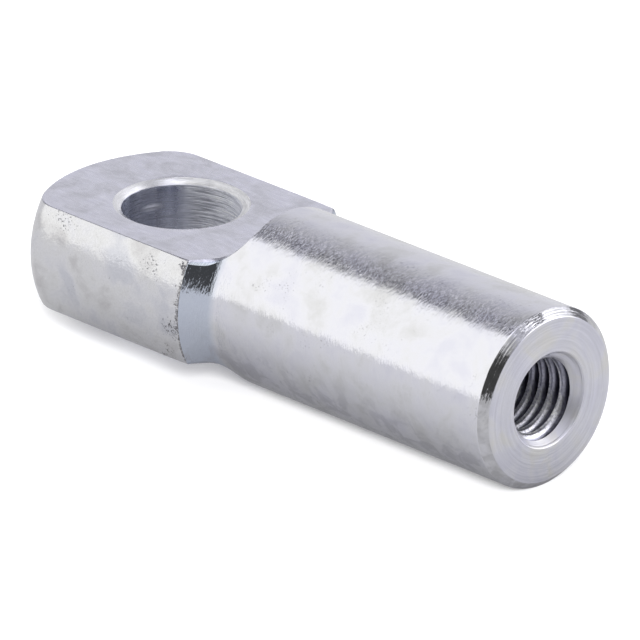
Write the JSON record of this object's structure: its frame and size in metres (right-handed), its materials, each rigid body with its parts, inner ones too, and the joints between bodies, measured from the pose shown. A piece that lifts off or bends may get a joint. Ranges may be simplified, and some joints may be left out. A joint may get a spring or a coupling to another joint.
{
  "type": "eye terminal",
  "caption": "Eye terminal turned from round bar: a flat-milled eye with a cross hole for a pin, a cone neck and a round shank with a blind tapped end for a rod or cable.",
  "frame": {"origin": "middle of the eye's hole, on the shank's axis and halfway between the eye's flats", "axes": "+X along the shank's axis towards the tapped end, +Z along the eye's hole, so the flats face up and down"},
  "size_m": [0.0708, 0.025, 0.02],
  "materials": {
    "zinc_plated_steel": "bright zinc plated over turned and milled steel"
  },
  "bodies": {
    "root": {"eye_terminal": "zinc_plated_steel"}
  },
  "joints": []
}
